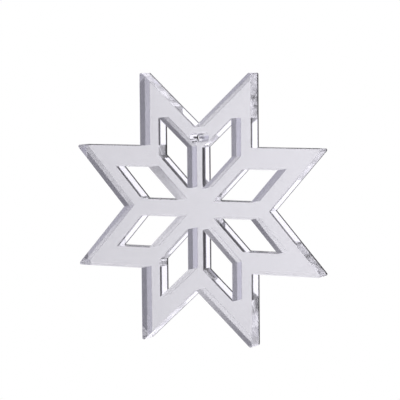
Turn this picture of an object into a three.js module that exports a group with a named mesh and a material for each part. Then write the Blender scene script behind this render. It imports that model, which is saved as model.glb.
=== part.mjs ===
import * as THREE from 'three';

// A flat star ornament, laser-cut from mirror acrylic: a clear sheet with a bright metal film and a
// protective coat of paint on its back. It hangs upright from a small hole under its top notch.
// Sizes are in millimetres. +Z is up, and the side that shows the mirror faces -Y. The origin is
// the middle of the hanging hole, half-way through the sheet.

// The star's outline, from its middle
const TIP_REACH = 22.6; // up or sideways to where the two edges of an arm's tip would cross
const ARM_EDGE_REACH = 10.2; // sideways to the straight edges of the upper and lower arms
const NOTCH_REACH = 13.4; // up or sideways to the bottom of the notch between two arms
const TIP_RADIUS = 0.3;

// The bars that are left beside the cut-outs
const CROSS_SPOKE_WIDTH = 2.8; // the upright and level spokes
const DIAGONAL_SPOKE_WIDTH = 2.8;
const STRAIGHT_RIM_WIDTH = 3.5; // inside an arm's upright or level edge
const SLANTED_RIM_WIDTH = 3.4; // inside the edge that runs from a notch to a tip

// The hanging hole
const HOLE_DIAMETER = 1.7;
const HOLE_BELOW_NOTCH = 1.8; // from the bottom of the top notch to the hole's middle

// The layers of the sheet
const CLEAR_SHEET_THICKNESS = 2.85;
const MIRROR_FILM_THICKNESS = 0.03;
const BACKING_COAT_THICKNESS = 0.12;

const CURVE_SEGMENTS = 12; // a round stretch gets twice as many straight steps
const QUARTER_TURNS = [0, 1, 2, 3];

/** The point where the line through a along u meets the line through b along v. */
function crossing(a, u, b, v) {
  const distance = b.clone().sub(a).cross(v) / u.cross(v);
  return a.clone().addScaledVector(u, distance);
}

/** A point turned about the star's middle by a number of quarter turns. */
function turned(point, quarters) {
  return point.clone().rotateAround(new THREE.Vector2(), (quarters * Math.PI) / 2);
}

/** Runs a path round a convex corner that is rounded off with an arc. */
function roundCorner(path, before, corner, after, radius) {
  const back = before.clone().sub(corner).normalize();
  const onward = after.clone().sub(corner).normalize();
  const halfAngle = Math.acos(back.dot(onward)) / 2;
  const tangentLength = radius / Math.tan(halfAngle);
  const centreDistance = radius / Math.sin(halfAngle);
  const middle = back.clone().add(onward).normalize();
  const centre = corner.clone().addScaledVector(middle, centreDistance);
  const start = corner.clone().addScaledVector(back, tangentLength);
  const end = corner.clone().addScaledVector(onward, tangentLength);
  const startAngle = start.clone().sub(centre).angle();
  const endAngle = end.clone().sub(centre).angle();
  path.lineTo(start.x, start.y);
  path.absarc(centre.x, centre.y, radius, startAngle, endAngle, false);
}

/** The star's outer edge, counter-clockwise: for each quarter a notch, a tip, a corner and a tip. */
function outline() {
  const path = new THREE.Shape();
  const notch = new THREE.Vector2(0, NOTCH_REACH);
  const upperTip = new THREE.Vector2(-ARM_EDGE_REACH, TIP_REACH);
  const corner = new THREE.Vector2(-ARM_EDGE_REACH, ARM_EDGE_REACH);
  const sideTip = new THREE.Vector2(-TIP_REACH, ARM_EDGE_REACH);
  path.moveTo(notch.x, notch.y);
  for (const quarter of QUARTER_TURNS) {
    const [a, b, c, d] = [notch, upperTip, corner, sideTip].map((point) => turned(point, quarter));
    const nextNotch = turned(notch, quarter + 1);
    roundCorner(path, a, b, c, TIP_RADIUS);
    path.lineTo(c.x, c.y);
    roundCorner(path, c, d, nextNotch, TIP_RADIUS);
    if (quarter < QUARTER_TURNS.length - 1) {
      path.lineTo(nextNotch.x, nextNotch.y);
    }
  }
  path.closePath();
  return path;
}

/** The four corners of the cut-out between the spoke that points up and the diagonal beside it. */
function cutOutCorners() {
  const notch = new THREE.Vector2(0, NOTCH_REACH);
  const tip = new THREE.Vector2(ARM_EDGE_REACH, TIP_REACH);
  const up = new THREE.Vector2(0, 1);
  const diagonal = new THREE.Vector2(1, 1).normalize();
  const slant = tip.clone().sub(notch).normalize();
  const acrossDiagonal = new THREE.Vector2(-diagonal.y, diagonal.x);
  const acrossSlant = new THREE.Vector2(slant.y, -slant.x);

  const spokeSide = up.clone().rotateAround(new THREE.Vector2(), -Math.PI / 2);
  const besideSpoke = spokeSide.clone().multiplyScalar(CROSS_SPOKE_WIDTH / 2);
  const besideRim = spokeSide.clone().multiplyScalar(ARM_EDGE_REACH - STRAIGHT_RIM_WIDTH);
  const overDiagonal = acrossDiagonal.multiplyScalar(DIAGONAL_SPOKE_WIDTH / 2);
  const underSlant = notch.clone().addScaledVector(acrossSlant, SLANTED_RIM_WIDTH);
  return [
    crossing(besideSpoke, up, overDiagonal, diagonal),
    crossing(besideRim, up, overDiagonal, diagonal),
    crossing(besideRim, up, underSlant, slant),
    crossing(besideSpoke, up, underSlant, slant),
  ];
}

/** The eight cut-outs: the first one and its mirror image, four times round. */
function cutOuts() {
  const right = cutOutCorners();
  const left = right.map((point) => new THREE.Vector2(-point.x, point.y));
  return QUARTER_TURNS.flatMap((quarter) =>
    [right, left].map((corners) => new THREE.Path(corners.map((point) => turned(point, quarter)))),
  );
}

function hangingHole(height) {
  const path = new THREE.Path();
  path.absarc(0, height, HOLE_DIAMETER / 2, 0, 2 * Math.PI, true);
  return path;
}

const holeHeight = NOTCH_REACH - HOLE_BELOW_NOTCH;
const starShape = outline();
starShape.holes.push(...cutOuts(), hangingHole(holeHeight));

const layers = [
  {
    name: 'backing_coat',
    thickness: BACKING_COAT_THICKNESS,
    material: new THREE.MeshStandardMaterial({ color: 0x8b8d93, roughness: 0.6, metalness: 0 }),
  },
  {
    name: 'mirror_film',
    thickness: MIRROR_FILM_THICKNESS,
    material: new THREE.MeshStandardMaterial({ color: 0xe4e4ea, roughness: 0.04, metalness: 1 }),
  },
  {
    name: 'clear_sheet',
    thickness: CLEAR_SHEET_THICKNESS,
    material: new THREE.MeshStandardMaterial({
      color: 0xf2f2f8,
      roughness: 0.05,
      metalness: 0,
      transparent: true,
      opacity: 0.35,
    }),
  },
];

// The layers are stacked along the group's own +Z, from the back of the star to its front.
const star = new THREE.Group();
const sheetThickness = layers.reduce((sum, layer) => sum + layer.thickness, 0);
let layerBack = -sheetThickness / 2;
for (const { name, thickness, material } of layers) {
  const geometry = new THREE.ExtrudeGeometry(starShape, {
    depth: thickness,
    bevelEnabled: false,
    curveSegments: CURVE_SEGMENTS,
  });
  const layer = new THREE.Mesh(geometry, material);
  layer.name = name;
  layer.position.z = layerBack;
  star.add(layer);
  layerBack += thickness;
}

// The group stands upright, with its own +Z turned towards -Y and the hanging hole at the origin.
star.rotation.x = Math.PI / 2;
star.position.z = -holeHeight;

export default star;
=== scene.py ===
"""The looks of a mirror-acrylic star ornament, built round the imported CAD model.

Each layer of the sheet gets a finer mesh on the outline of its CAD node: laser-cut edges with a
slight taper, waves and small rounded rims. The star hangs in a white studio, over a pale floor.
Lengths in the mesh code are in millimetres; the meshes themselves are in metres.
"""

import math

import bmesh
import bpy
from mathutils import Matrix, Vector, kdtree, noise
from mathutils.geometry import delaunay_2d_cdt


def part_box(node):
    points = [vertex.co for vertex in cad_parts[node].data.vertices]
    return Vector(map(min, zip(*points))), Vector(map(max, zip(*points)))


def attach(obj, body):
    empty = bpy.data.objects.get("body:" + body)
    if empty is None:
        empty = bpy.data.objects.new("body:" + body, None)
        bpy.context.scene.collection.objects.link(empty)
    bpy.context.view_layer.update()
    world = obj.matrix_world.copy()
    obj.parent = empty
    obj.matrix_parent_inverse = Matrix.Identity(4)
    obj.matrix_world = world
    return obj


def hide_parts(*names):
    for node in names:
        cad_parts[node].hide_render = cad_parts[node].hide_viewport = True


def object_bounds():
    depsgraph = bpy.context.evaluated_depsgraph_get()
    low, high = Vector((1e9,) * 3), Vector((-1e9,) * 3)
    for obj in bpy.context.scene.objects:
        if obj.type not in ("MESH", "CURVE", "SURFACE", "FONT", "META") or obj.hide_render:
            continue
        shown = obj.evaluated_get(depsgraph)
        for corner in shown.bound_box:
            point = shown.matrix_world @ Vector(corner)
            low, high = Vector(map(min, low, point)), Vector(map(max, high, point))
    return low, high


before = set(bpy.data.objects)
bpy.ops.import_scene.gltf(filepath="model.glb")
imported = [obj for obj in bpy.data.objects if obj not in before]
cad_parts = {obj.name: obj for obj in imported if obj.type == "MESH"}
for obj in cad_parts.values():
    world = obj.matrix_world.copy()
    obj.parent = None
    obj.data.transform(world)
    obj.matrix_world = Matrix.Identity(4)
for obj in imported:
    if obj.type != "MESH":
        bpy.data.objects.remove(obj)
cad_low, cad_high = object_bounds()

MM = 0.001
WELD_DISTANCE = 0.00001  # metres; also how near the front a point of the front face lies

# Camera, seen from the middle of the star: degrees, metres, and lens and sensor in millimetres
CAMERA_AZIMUTH = 27.64
CAMERA_ELEVATION = 4.76
CAMERA_ROLL = -0.47
CAMERA_DISTANCE = 0.2817
CAMERA_LENS = 154.3
SENSOR_WIDTH = 36.0
CAMERA_AIM = (0.00012, 0.00137)  # metres right and up from the star's middle
CAMERA_CLIP = (0.01, 10.0)  # metres

# Cut edges, in millimetres
STEP_ALONG = 0.3
ARC_STEP = 0.06
SMALLEST_ARC_TURN = 0.01  # radians; a smaller turn is a straight stretch
LARGEST_ARC_TURN = math.radians(20)  # a larger turn between two steps of an outline is a corner
RIM_ROUNDING = 0.045
RIM_MIDDLE = 0.3  # how far in the front round's middle lies from both sides, as a share of the rounding
BACK_BEVEL = 0.3  # how far in the edge leans at the back, as a share of the rounding
WALL_ROWS = 6
WALL_TAPER = 0.005  # how far the wall leans in per millimetre of depth
BEAM_LEAN = 0.008  # how far the cut drifts to the right per millimetre of depth
WAVE_DEPTH = 0.0003
WAVE_LENGTH = 1.6
WAVE_DEPTH_RATE = 0.15  # how fast a wave changes with depth, against its change along the outline
RIPPLE_SHARE = 0.5
RIPPLE_RATE = 3.1  # the finer ripple's rate, against the wave's
SHARP_ANGLE = math.radians(12)

# Layers, in millimetres
FILM_GAP = 0.002  # behind the clear sheet, so that steep rays are turned back before the film
FILM_INSET = 0.006
COAT_ROUNDING = 0.02
FACE_GRID = 0.7
FILL_TOLERANCE = 1e-6
EDGE_REACH = 1.2  # how far in from a cut edge its marks on the flat faces can reach

# Clear acrylic; lengths along the cut edges are in millimetres
ACRYLIC_COLOUR = (0.97, 0.97, 0.98, 1)
ACRYLIC_IOR = 1.49
CUT_ROUGHNESS = 0.09
STRIATION_PITCH = 0.35
STRIATION_WANDER = 0.12  # how much the lines change from the front of the sheet to its back
STRIATION_TILT = 0.012
# A near-black band coloured into the back of each cut edge, beside the paint, with a wandering front
# line
DARK_BACK_BAND_WIDTH = 0.42
DARK_BACK_BAND_SOLID = 0.28
DARK_BACK_BAND_WANDER = 0.06
DARK_BACK_BAND_SCALE = 2.0
DARK_BACK_BAND_COLOUR = (0.004, 0.0038, 0.0036, 1)
HAZE_REACH = 0.25
EDGE_HAZE = 0.01

# Materials: most of a noise's values lie between these two
NOISE_LOW, NOISE_HIGH = 0.3, 0.7

# Scratches: the stretch is along x, y and z, per metre
SCRATCH_ANGLES = (math.radians(23), math.radians(71), math.radians(128))
SCRATCH_STRETCH = (9000.0, 9000.0, 110.0)
SCRATCH_LEVEL = 0.79  # the noise level where a scratch starts
SCRATCH_SOFTNESS = 0.03
SCRATCH_ROUGHNESS = 0.05
SCRATCH_DEPTH = 0.0000004

# Bright film; scales are per metre and heights in metres, as in all the materials below
FILM_COLOUR = (0.637, 0.64, 0.622, 1)
FILM_SHADE = (0.607, 0.61, 0.592, 1)
FILM_CLOUD_SCALE = 160.0
FILM_ROUGHNESS = 0.012
FILM_WAVE_SCALE = 120.0
FILM_WAVE_HEIGHT = 0.000012

# Charred rims and backing paint
SOOT_SCALE = 9000.0
SOOT_DARK = (0.012, 0.012, 0.013, 1)
SOOT_LIGHT = (0.05, 0.046, 0.044, 1)
SOOT_ROUGHNESS = (0.55, 0.9)
SOOT_HEIGHT = 0.00001
PAINT_DARK = (0.15, 0.154, 0.163, 1)
PAINT_LIGHT = (0.20, 0.205, 0.215, 1)
PAINT_ROUGHNESS = (0.42, 0.58)
MOTTLE_SCALE = 350.0
MOTTLE_LOW, MOTTLE_HIGH = 0.35, 0.65
HALO_SCALE = 1500.0
HALO_REACH = 0.45  # millimetres
HALO_RAGGEDNESS = 0.5
HALO_COLOUR = (0.33, 0.325, 0.315, 1)
HALO_STRENGTH = 0.7
HALO_DULLNESS = 0.2
SCUFF_COLOUR = (0.36, 0.365, 0.375, 1)
SCUFF_STRENGTH = 0.35
SCUFF_DEPTH_SHARE = 0.4  # of the orange peel's height, as is the grain's share
PEEL_SCALE = 2200.0
PEEL_HEIGHT = 0.00002
PAINT_GRAIN_SCALE = 14000.0
PAINT_GRAIN_SHARE = 0.15

# Floor, in metres
FLOOR_DROP = 0.14  # below the star's middle
FLOOR_RADIUS = 0.25
FLOOR_SPOKES = 96
FLOOR_FADE_START, FLOOR_FADE_END = 0.3, 0.99  # as shares of the radius
FLOOR_ROUGHNESS = 0.85
FLOOR_LIGHT = (0.68, 0.68, 0.68, 1)
FLOOR_SHADE = (0.62, 0.62, 0.625, 1)
FLOOR_GRAIN_SCALE = 900.0
FLOOR_GRAIN_HEIGHT = 0.0001

# Studio, in degrees: azimuths run from the front of the star (-Y) towards its left (-X)
HALF_TURN = 180.0
BACKDROP_COLOUR = (1, 1, 1, 1)  # what the camera sees behind the star
STUDIO_LEVEL = 1.45  # wherever no panel is
NEUTRAL = (0.985, 0.965, 1.045)  # tints of the light
COOL = (1.0, 0.97, 1.18)
STUDIO_PANELS = (
    # name, middle, half width, fade at the sides, (lowest, highest) elevation, fade at the ends,
    # level, tint
    ("front", 2, 12, 6, (-32, 32), 6, 1.15, NEUTRAL),
    ("low, left of the front", 47, 16, 10, (-42, -22), 6, 0.7, NEUTRAL),
    ("front strip", 0, 60, 20, (-20, 12), 8, 0.84, NEUTRAL),
    ("front light", 0, 5, 45, (-4, 12), 20, 1.57, NEUTRAL),
    ("middle of the front", 0, 5, 10, (-14, 14), 6, 1.0, NEUTRAL),
    ("dark behind", 154, 14, 8, (-18, 6), 6, 0.03, NEUTRAL),
    ("right rear", 205, 20, 8, (-60, 60), 10, 0.38, NEUTRAL),
    ("camera", 322.5, 8.5, 4, (-14, 14), 6, 0.33, COOL),
    ("beside the camera", 342, 7, 4, (-14, 14), 6, 0.88, COOL),
    ("high board, right", 344.5, 7, 2, (25, 45), 2, 0.28, COOL),
    ("high board, middle", 357, 2, 1, (28, 45), 1.2, 0.24, COOL),
    ("high board, left", 3.5, 3.5, 1.5, (27.7, 45), 1.2, 0.28, COOL),
    ("low, right of the front", 350, 13.5, 2, (-45, -22), 3, 0.6, COOL),
)

# Light is turned back many times inside the clear tips
LIGHT_BOUNCES = 48
DIFFUSE_BOUNCES = 4


# ---------------------------------------------------------------- outlines


def outline_loops(node):
    """The outlines of a CAD node's front face: lists of (x, z) points with material on the left."""
    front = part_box(node)[0].y
    bm = bmesh.new()
    bm.from_mesh(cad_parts[node].data)
    bmesh.ops.remove_doubles(bm, verts=bm.verts, dist=WELD_DISTANCE)
    at_front = {v for v in bm.verts if abs(v.co.y - front) < WELD_DISTANCE}
    front_faces = [f for f in bm.faces if at_front.issuperset(f.verts)]
    following = {}
    for face in front_faces:
        for corner in face.loops:
            if sum(f in front_faces for f in corner.edge.link_faces) == 1:
                following[corner.vert] = corner.link_loop_next.vert
    loops = []
    while following:
        vert = next(iter(following))
        loop = []
        while vert in following:
            loop.append(Vector((vert.co.x, vert.co.z)) / MM)
            vert = following.pop(vert)
        loops.append(rounded_arcs(loop))
    bm.free()
    return loops


def turn_at(loop, i):
    """How far the outline turns at one of its points, in radians."""
    before, point, after = loop[i - 1], loop[i], loop[(i + 1) % len(loop)]
    return (point - before).angle_signed(after - point, 0)


def rounded_arcs(loop):
    """The outline with the straight steps of its round stretches replaced by finer arcs."""
    made = []
    for i, point in enumerate(loop):
        after = loop[(i + 1) % len(loop)]
        turns = (turn_at(loop, i), turn_at(loop, (i + 1) % len(loop)))
        made.append(point)
        if min(map(abs, turns)) < SMALLEST_ARC_TURN or max(map(abs, turns)) > LARGEST_ARC_TURN:
            continue
        chord = after - point
        radius = chord.length / (2 * math.sin(abs(turns[0]) / 2))
        outward = left_of(chord.normalized()) * math.copysign(1, turns[0])
        steps = math.ceil(chord.length / ARC_STEP)
        for k in range(1, steps):
            along = chord.length * (k / steps - 0.5)
            rise = math.sqrt(radius**2 - along**2) - radius * math.cos(turns[0] / 2)
            made.append(point.lerp(after, k / steps) + outward * rise)
    return made


def left_of(direction):
    return Vector((-direction.y, direction.x))


def columns(loop, step):
    """Points along an outline, each with its inward direction and its distance along the outline."""
    made = []
    travelled = 0.0
    for i, point in enumerate(loop):
        before, after = loop[i - 1], loop[(i + 1) % len(loop)]
        inward_before = left_of((point - before).normalized())
        inward = left_of((after - point).normalized())
        mitre = (inward_before + inward) / (1 + inward_before.dot(inward))
        length = (after - point).length
        steps = max(1, round(length / step))
        for k in range(steps):
            place = point.lerp(after, k / steps)
            made.append((place, mitre if k == 0 else inward, travelled + length * k / steps))
        travelled += length
    return made, travelled


def inside(point, loops):
    """True if the point lies inside the outline and outside its holes."""
    crossed = False
    for loop in loops:
        for a, b in zip(loop, loop[1:] + loop[:1]):
            if (a.y > point.y) != (b.y > point.y):
                if point.x < a.x + (b.x - a.x) * (point.y - a.y) / (b.y - a.y):
                    crossed = not crossed
    return crossed


# ---------------------------------------------------------------- layer meshes


def wave(place, depth):
    """A small smooth wander of a cut edge, between about -1 and 1."""
    at = Vector((place.x, place.y, depth * WAVE_DEPTH_RATE)) / WAVE_LENGTH
    return noise.noise(at) + RIPPLE_SHARE * noise.noise(at * RIPPLE_RATE)


def grid_inside(loops):
    """The points of a square grid that lie inside the outline, clear of its edges."""
    low, high = cad_low / MM, cad_high / MM
    edge = edge_tree(rings_of(loops))
    across = int((high.x - low.x) / FACE_GRID)
    upward = int((high.z - low.z) / FACE_GRID)
    made = []
    for i in range(across):
        for k in range(upward):
            spot = Vector((low.x + FACE_GRID * (i + 0.5), low.z + FACE_GRID * (k + 0.5)))
            if edge_distance(edge, spot) > FACE_GRID / 2 and inside(spot, loops):
                made.append(spot)
    return made


def edge_tree(rings):
    points = [p for ring in rings for p in ring]
    tree = kdtree.KDTree(len(points))
    for i, point in enumerate(points):
        tree.insert(point.to_3d(), i)
    tree.balance()
    return tree


def edge_distance(tree, point):
    return tree.find(point.to_3d())[2]


def fill(rings, extra):
    """Triangles that fill the face between the rings, as indices into the rings' and extra points.

    The triangulation also covers the notches and cut-outs. A triangle there has all its corners on
    the rings, so only such triangles are tested.
    """
    points = [p for ring in rings for p in ring]
    edges = []
    start = 0
    for ring in rings:
        edges += [(start + i, start + (i + 1) % len(ring)) for i in range(len(ring))]
        start += len(ring)
    out, _, faces, origins, _, _ = delaunay_2d_cdt(points + extra, edges, [], 0, FILL_TOLERANCE)
    triangles = []
    for face in faces:
        corners = [origins[i][0] for i in face]
        middle = sum((out[i] for i in face), Vector((0, 0))) / len(face)
        if max(corners) >= start or inside(middle, rings):
            triangles.append(corners)
    return triangles


def layer_mesh(name, loops, grid, profile):
    """A closed layer from (y, inset) rows, front to back: material 0 on its faces, 1 on its edges."""
    bm = bmesh.new()
    uv = bm.loops.layers.uv.new("cut_edge")
    rows = [[] for _ in profile]  # one ring of verts for each outline
    travelled = 0.0
    for loop in loops:
        made, whole = columns(loop, STEP_ALONG)
        for row, (y, inset) in zip(rows, profile):
            drift = Vector((BEAM_LEAN * (y - cad_low.y / MM), 0))
            ring = []
            for place, inward, _ in made:
                spot = place + drift + inward * (inset + WAVE_DEPTH * wave(place, y))
                ring.append(bm.verts.new((spot.x * MM, y * MM, spot.y * MM)))
            row.append(ring)
        track = [travelled + along for _, _, along in made] + [travelled + whole]
        for r in range(len(profile) - 1):
            add_wall(bm, uv, rows[r][-1], rows[r + 1][-1], track, profile[r][0], profile[r + 1][0])
        travelled += whole
    add_face(bm, rows[0], grid, profile[0][0], False)
    add_face(bm, rows[-1], grid, profile[-1][0], True)
    mesh = bpy.data.meshes.new(name)
    bm.to_mesh(mesh)
    bm.free()
    mesh.set_sharp_from_angle(angle=SHARP_ANGLE)
    mark_edge_distance(mesh, rings_of(loops))
    piece = bpy.data.objects.new(name, mesh)
    bpy.context.scene.collection.objects.link(piece)
    return piece


def add_wall(bm, uv, front, back, track, front_y, back_y):
    """One row of a cut edge; its UVs are the way along the outline and the depth."""
    count = len(front)
    for i in range(count):
        j = (i + 1) % count
        face = bm.faces.new((front[j], front[i], back[i], back[j]))
        face.material_index = 1
        face.smooth = True
        spots = ((i + 1, front_y), (i, front_y), (i, back_y), (i + 1, back_y))
        for corner, (column, y) in zip(face.loops, spots):
            corner[uv].uv = (track[column], y)


def add_face(bm, ring_verts, grid, y, faces_back):
    """A flat face between the rings, on a grid fine enough to carry the marks near its edges."""
    rings = [[Vector((v.co.x, v.co.z)) / MM for v in ring] for ring in ring_verts]
    verts = [v for ring in ring_verts for v in ring]
    verts += [bm.verts.new((p.x * MM, y * MM, p.y * MM)) for p in grid]
    for triangle in fill(rings, grid):
        corners = [verts[i] for i in triangle]
        bm.faces.new(reversed(corners) if faces_back else corners)


def rings_of(loops):
    return [[place for place, _, _ in columns(loop, STEP_ALONG)[0]] for loop in loops]


def mark_edge_distance(mesh, rings):
    """Keeps how far each point is from the nearest cut edge, 0 at the edge and 1 at EDGE_REACH."""
    tree = edge_tree(rings)
    marks = mesh.attributes.new("from_edge", "FLOAT", "POINT")
    for vert, mark in zip(mesh.vertices, marks.data):
        spot = Vector((vert.co.x, vert.co.z)) / MM
        mark.value = min(1.0, edge_distance(tree, spot) / EDGE_REACH)


def wall_profile(front, back):
    """The (y, inset) rows of a laser-cut edge: a small round, a leaning wall and a fine bevel."""
    r = RIM_ROUNDING
    rows = [(front, r), (front + RIM_MIDDLE * r, RIM_MIDDLE * r)]
    for i in range(WALL_ROWS + 1):
        y = front + r + (back - front - 2 * r) * i / WALL_ROWS
        rows.append((y, WALL_TAPER * (y - front - r)))
    rows.append((back, rows[-1][1] + BACK_BEVEL * r))
    return rows


# ---------------------------------------------------------------- materials


class Nodes:
    """Short names for adding and linking shader nodes."""

    def __init__(self, tree):
        self.tree = tree

    def add(self, kind, settings=None, **inputs):
        node = self.tree.nodes.new(kind)
        for name, value in (settings or {}).items():
            setattr(node, name, value)
        for name, value in inputs.items():
            self.set(node.inputs[name.replace("_", " ")], value)
        return node

    def set(self, socket, value):
        if isinstance(value, bpy.types.NodeSocket):
            self.tree.links.new(value, socket)
        else:
            socket.default_value = value

    def math(self, operation, *values):
        node = self.add("ShaderNodeMath", {"operation": operation})
        for socket, value in zip(node.inputs, values):
            self.set(socket, value)
        return node.outputs[0]

    def vector(self, operation, *values):
        node = self.add("ShaderNodeVectorMath", {"operation": operation})
        for socket, value in zip(node.inputs, values):
            self.set(socket, value)
        return node.outputs[0]

    def scaled(self, vector, factor):
        node = self.add("ShaderNodeVectorMath", {"operation": "SCALE"})
        self.set(node.inputs["Vector"], vector)
        self.set(node.inputs["Scale"], factor)
        return node.outputs[0]

    def ramp(self, value, low, high, from_value, to_value):
        """A smooth step from one value to another while the input goes from low to high."""
        node = self.add("ShaderNodeMapRange", {"interpolation_type": "SMOOTHSTEP"})
        for name, part in (("Value", value), ("From Min", low), ("From Max", high)):
            self.set(node.inputs[name], part)
        self.set(node.inputs["To Min"], from_value)
        self.set(node.inputs["To Max"], to_value)
        return node.outputs[0]

    def noise(self, place, scale, detail=2.0, roughness=0.5):
        node = self.add("ShaderNodeTexNoise", Vector=place, Scale=scale, Detail=detail)
        self.set(node.inputs["Roughness"], roughness)
        return node.outputs[0]

    def mix_colour(self, factor, a, b):
        """Colour a at factor 0 and colour b at factor 1, by the Mix node's colour sockets."""
        node = self.add("ShaderNodeMix", {"data_type": "RGBA"})
        self.set(node.inputs[0], factor)
        self.set(node.inputs[6], a)
        self.set(node.inputs[7], b)
        return node.outputs[2]


def new_material(name):
    material = bpy.data.materials.new(name)
    material.use_nodes = True
    return material, Nodes(material.node_tree), material.node_tree.nodes["Principled BSDF"]


def object_place(nodes):
    return nodes.add("ShaderNodeTexCoord").outputs["Object"]


def from_edge(nodes):
    """How far in from a cut edge a flat face is: 0 at the edge, 1 from EDGE_REACH on."""
    return nodes.add("ShaderNodeAttribute", {"attribute_name": "from_edge"}).outputs["Fac"]


def hairlines(nodes, place, angle):
    """Thin straight scratches that all run one way: 1 on a scratch, 0 beside it."""
    turned = nodes.add("ShaderNodeVectorRotate", {"rotation_type": "Y_AXIS"}, Vector=place)
    nodes.set(turned.inputs["Angle"], angle)
    stretched = nodes.vector("MULTIPLY", turned.outputs[0], SCRATCH_STRETCH)
    level = nodes.noise(stretched, 1.0, 0.0)
    return nodes.ramp(level, SCRATCH_LEVEL, SCRATCH_LEVEL + SCRATCH_SOFTNESS, 0.0, 1.0)


def scratches(nodes, place):
    lines = 0.0
    for angle in SCRATCH_ANGLES:
        lines = nodes.math("MAXIMUM", lines, hairlines(nodes, place, angle))
    return lines


def bump(nodes, height, distance):
    return nodes.add("ShaderNodeBump", Strength=1.0, Distance=distance, Height=height).outputs[0]


def clear_plastic(shader, roughness):
    shader.inputs["Base Color"].default_value = ACRYLIC_COLOUR
    shader.inputs["IOR"].default_value = ACRYLIC_IOR
    shader.inputs["Transmission Weight"].default_value = 1.0
    shader.inputs["Roughness"].default_value = roughness


def polished_acrylic():
    """The sheet's flat faces: glossy, with faint hairline scratches and a haze beside the cut edges."""
    material, nodes, shader = new_material("polished_acrylic")
    clear_plastic(shader, 0.0)
    place = object_place(nodes)
    lines = scratches(nodes, place)
    haze = nodes.ramp(from_edge(nodes), 0.0, HAZE_REACH / EDGE_REACH, EDGE_HAZE, 0.0)
    worn = nodes.math("MAXIMUM", nodes.math("MULTIPLY", lines, SCRATCH_ROUGHNESS), haze)
    nodes.set(shader.inputs["Roughness"], worn)
    nodes.set(shader.inputs["Normal"], bump(nodes, lines, SCRATCH_DEPTH))
    return material


def cut_acrylic():
    """The laser-cut edges: fine lines across the sheet, and a near-black band along their back, beside
    the paint.
    """
    material, nodes, shader = new_material("cut_acrylic")
    clear_plastic(shader, CUT_ROUGHNESS)
    cut = nodes.add("ShaderNodeUVMap", {"uv_map": "cut_edge"}).outputs[0]
    lines = nodes.vector("MULTIPLY", cut, (1 / STRIATION_PITCH, STRIATION_WANDER / STRIATION_PITCH, 0))
    height = nodes.noise(lines, 1.0, 2.0)
    tilt = nodes.math("MULTIPLY", nodes.math("SUBTRACT", height, 0.5), STRIATION_TILT)
    along = nodes.add("ShaderNodeTangent", {"direction_type": "UV_MAP", "uv_map": "cut_edge"})
    normal = nodes.add("ShaderNodeNewGeometry").outputs["Normal"]
    leaning = nodes.vector("ADD", normal, nodes.scaled(along.outputs[0], tilt))
    nodes.set(shader.inputs["Normal"], nodes.vector("NORMALIZE", leaning))
    # The cut edge's colour turns near-black towards the back of the sheet, beside the paint
    depth = nodes.add("ShaderNodeSeparateXYZ", Vector=cut).outputs[1]
    sheet_back = depths("clear_sheet")[1]
    wander = nodes.math("MULTIPLY", nodes.noise(cut, DARK_BACK_BAND_SCALE, 3.0), DARK_BACK_BAND_WANDER)
    band_depth = nodes.math("ADD", depth, wander)
    mark = nodes.ramp(band_depth, sheet_back - DARK_BACK_BAND_WIDTH, sheet_back - DARK_BACK_BAND_SOLID, 0.0, 1.0)
    colour = nodes.mix_colour(mark, ACRYLIC_COLOUR, DARK_BACK_BAND_COLOUR)
    nodes.set(shader.inputs["Base Color"], colour)
    return material


def bright_film():
    """Evaporated metal: bright and smooth, with the faint waves of the sheet that it lies on."""
    material, nodes, shader = new_material("bright_film")
    shader.inputs["Metallic"].default_value = 1.0
    place = object_place(nodes)
    cloud = nodes.noise(place, FILM_CLOUD_SCALE, 3.0)
    nodes.set(shader.inputs["Base Color"], nodes.mix_colour(cloud, FILM_COLOUR, FILM_SHADE))
    nodes.set(shader.inputs["Roughness"], nodes.ramp(cloud, NOISE_LOW, NOISE_HIGH, 0.0, FILM_ROUGHNESS))
    waves = nodes.noise(place, FILM_WAVE_SCALE, 1.0)
    nodes.set(shader.inputs["Normal"], bump(nodes, waves, FILM_WAVE_HEIGHT))
    return material


def burnt_edge(name):
    """The charred rim that the laser leaves on the film and on the paint."""
    material, nodes, shader = new_material(name)
    place = object_place(nodes)
    soot = nodes.noise(place, SOOT_SCALE, 4.0, 0.6)
    nodes.set(shader.inputs["Base Color"], nodes.mix_colour(soot, SOOT_DARK, SOOT_LIGHT))
    nodes.set(shader.inputs["Roughness"], nodes.ramp(soot, NOISE_LOW, NOISE_HIGH, *SOOT_ROUGHNESS))
    nodes.set(shader.inputs["Normal"], bump(nodes, soot, SOOT_HEIGHT))
    return material


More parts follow.
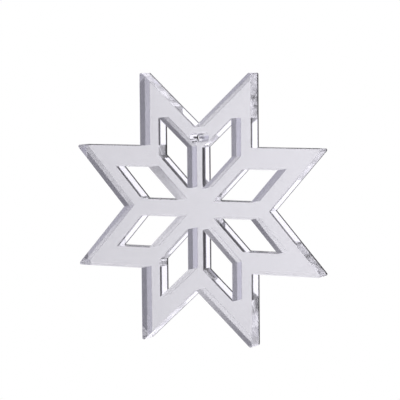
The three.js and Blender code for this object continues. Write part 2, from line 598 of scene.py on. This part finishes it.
def backing_paint():
    """Sprayed grey paint: orange peel, faint mottling, scuffs, and a halo beside the cut edges."""
    material, nodes, shader = new_material("grey_backing")
    place = object_place(nodes)
    mottle = nodes.noise(place, MOTTLE_SCALE, 4.0, 0.6)
    patches = nodes.ramp(mottle, MOTTLE_LOW, MOTTLE_HIGH, 0.0, 1.0)
    base = nodes.mix_colour(patches, PAINT_DARK, PAINT_LIGHT)
    ragged = nodes.math("SUBTRACT", nodes.noise(place, HALO_SCALE, 3.0), 0.5)
    near = nodes.math("MULTIPLY_ADD", ragged, HALO_RAGGEDNESS, from_edge(nodes))
    halo = nodes.ramp(near, 0.0, HALO_REACH / EDGE_REACH, 1.0, 0.0)
    warm = nodes.mix_colour(nodes.math("MULTIPLY", halo, HALO_STRENGTH), base, HALO_COLOUR)
    lines = scratches(nodes, place)
    colour = nodes.mix_colour(nodes.math("MULTIPLY", lines, SCUFF_STRENGTH), warm, SCUFF_COLOUR)
    nodes.set(shader.inputs["Base Color"], colour)
    peel = nodes.noise(place, PEEL_SCALE, 2.0)
    grain = nodes.noise(place, PAINT_GRAIN_SCALE, 1.0)
    sheen = nodes.ramp(mottle, NOISE_LOW, NOISE_HIGH, *PAINT_ROUGHNESS)
    nodes.set(shader.inputs["Roughness"], nodes.math("MULTIPLY_ADD", halo, HALO_DULLNESS, sheen))
    relief = nodes.math("MULTIPLY_ADD", grain, PAINT_GRAIN_SHARE, peel)
    cut_into = nodes.math("SUBTRACT", relief, nodes.math("MULTIPLY", lines, SCUFF_DEPTH_SHARE))
    nodes.set(shader.inputs["Normal"], bump(nodes, cut_into, PEEL_HEIGHT))
    return material


def pale_floor():
    """A pale matt board whose rim fades out, so that no line shows where it ends."""
    material, nodes, shader = new_material("pale_floor")
    place = object_place(nodes)
    speckle = nodes.noise(place, FLOOR_GRAIN_SCALE, 3.0)
    nodes.set(shader.inputs["Base Color"], nodes.mix_colour(speckle, FLOOR_LIGHT, FLOOR_SHADE))
    shader.inputs["Roughness"].default_value = FLOOR_ROUGHNESS
    nodes.set(shader.inputs["Normal"], bump(nodes, speckle, FLOOR_GRAIN_HEIGHT))
    reach = nodes.add("ShaderNodeVectorMath", {"operation": "LENGTH"}, Vector=place).outputs["Value"]
    fade = nodes.ramp(reach, FLOOR_RADIUS * FLOOR_FADE_START, FLOOR_RADIUS * FLOOR_FADE_END, 1.0, 0.0)
    nodes.set(shader.inputs["Alpha"], fade)
    return material


# ---------------------------------------------------------------- pieces


def add_piece(piece, node, materials):
    for material in materials:
        piece.data.materials.append(material)
    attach(piece, "root")
    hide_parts(node)
    return piece


def depths(node):
    """The front and the back of a CAD node, in millimetres."""
    low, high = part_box(node)
    return low.y / MM, high.y / MM


def star_layers():
    loops = outline_loops("clear_sheet")
    grid = grid_inside(loops)
    sheet_front, sheet_back = depths("clear_sheet")
    film_back = depths("mirror_film")[1]
    coat_back = depths("backing_coat")[1]

    sheet_rows = wall_profile(sheet_front, sheet_back)
    edge = sheet_rows[-1][1]
    sheet = layer_mesh("clear_sheet_cut", loops, grid, sheet_rows)
    add_piece(sheet, "clear_sheet", [polished_acrylic(), cut_acrylic()])

    film_edge = edge + FILM_INSET
    film_rows = [(sheet_back + FILM_GAP, film_edge), (film_back, film_edge)]
    film = layer_mesh("mirror_film_cut", loops, grid, film_rows)
    add_piece(film, "mirror_film", [bright_film(), burnt_edge("burnt_film_edge")])

    coat_rows = [(film_back, edge), (coat_back - COAT_ROUNDING, edge), (coat_back, edge + COAT_ROUNDING)]
    coat = layer_mesh("backing_coat_cut", loops, grid, coat_rows)
    add_piece(coat, "backing_coat", [backing_paint(), burnt_edge("burnt_paint_edge")])


# ---------------------------------------------------------------- studio


def floor():
    middle = (cad_low + cad_high) / 2
    bm = bmesh.new()
    bmesh.ops.create_circle(bm, cap_ends=True, segments=FLOOR_SPOKES, radius=FLOOR_RADIUS)
    mesh = bpy.data.meshes.new("floor")
    bm.to_mesh(mesh)
    bm.free()
    disc = bpy.data.objects.new("floor", mesh)
    disc.location = (middle.x, middle.y, middle.z - FLOOR_DROP)
    bpy.context.scene.collection.objects.link(disc)
    mesh.materials.append(pale_floor())


def light_colour(level, tint):
    return (*(level * part for part in tint), 1)


def panel_cover(nodes, azimuth, elevation, panel):
    """How much of a direction a soft-edged panel covers, from 0 to 1."""
    _, middle, half_width, side_fade, (low, high), end_fade, _, _ = panel
    turn = nodes.math("WRAP", nodes.math("SUBTRACT", azimuth, middle), HALF_TURN, -HALF_TURN)
    away = nodes.math("ABSOLUTE", turn)
    beside = nodes.ramp(away, half_width, half_width + side_fade, 1.0, 0.0)
    above_low = nodes.ramp(elevation, low - end_fade, low, 0.0, 1.0)
    below_high = nodes.ramp(elevation, high, high + end_fade, 1.0, 0.0)
    return nodes.math("MULTIPLY", beside, nodes.math("MULTIPLY", above_low, below_high))


def studio():
    """What the star mirrors: a soft studio with dark and bright panels. The camera sees plain white."""
    world = bpy.data.worlds.new("studio")
    bpy.context.scene.world = world
    world.use_nodes = True
    nodes = Nodes(world.node_tree)
    direction = nodes.add("ShaderNodeTexCoord").outputs["Generated"]
    parts = nodes.add("ShaderNodeSeparateXYZ", Vector=direction).outputs
    leftward, frontward = nodes.math("MULTIPLY", parts[0], -1.0), nodes.math("MULTIPLY", parts[1], -1.0)
    azimuth = nodes.math("DEGREES", nodes.math("ARCTAN2", leftward, frontward))
    elevation = nodes.math("DEGREES", nodes.math("ARCSINE", parts[2]))
    colour = light_colour(STUDIO_LEVEL, NEUTRAL)
    for panel in STUDIO_PANELS:
        cover = panel_cover(nodes, azimuth, elevation, panel)
        colour = nodes.mix_colour(cover, colour, light_colour(panel[-2], panel[-1]))
    seen = nodes.add("ShaderNodeLightPath").outputs["Is Camera Ray"]
    background = world.node_tree.nodes["Background"]
    nodes.set(background.inputs["Color"], nodes.mix_colour(seen, colour, BACKDROP_COLOUR))


def camera():
    azimuth, elevation, roll = map(math.radians, (CAMERA_AZIMUTH, CAMERA_ELEVATION, CAMERA_ROLL))
    flat = math.cos(elevation)
    back = Vector((math.sin(azimuth) * flat, -math.cos(azimuth) * flat, math.sin(elevation)))
    level = (-back).cross(Vector((0, 0, 1))).normalized()
    upright = level.cross(-back)
    right = level * math.cos(roll) + upright * math.sin(roll)
    up = upright * math.cos(roll) - level * math.sin(roll)
    middle = (cad_low + cad_high) / 2
    place = middle + right * CAMERA_AIM[0] + up * CAMERA_AIM[1] + back * CAMERA_DISTANCE
    data = bpy.data.cameras.new("camera")
    data.lens = CAMERA_LENS
    data.sensor_width = SENSOR_WIDTH
    data.clip_start, data.clip_end = CAMERA_CLIP
    eye = bpy.data.objects.new("camera", data)
    axes = Matrix((right, up, back)).transposed().to_4x4()
    eye.matrix_world = Matrix.Translation(place) @ axes
    bpy.context.scene.collection.objects.link(eye)
    bpy.context.scene.camera = eye


star_layers()
floor()
studio()
camera()
scene = bpy.context.scene
scene.view_settings.view_transform = "Standard"
scene.cycles.max_bounces = LIGHT_BOUNCES
scene.cycles.transmission_bounces = LIGHT_BOUNCES
scene.cycles.glossy_bounces = LIGHT_BOUNCES
scene.cycles.diffuse_bounces = DIFFUSE_BOUNCES
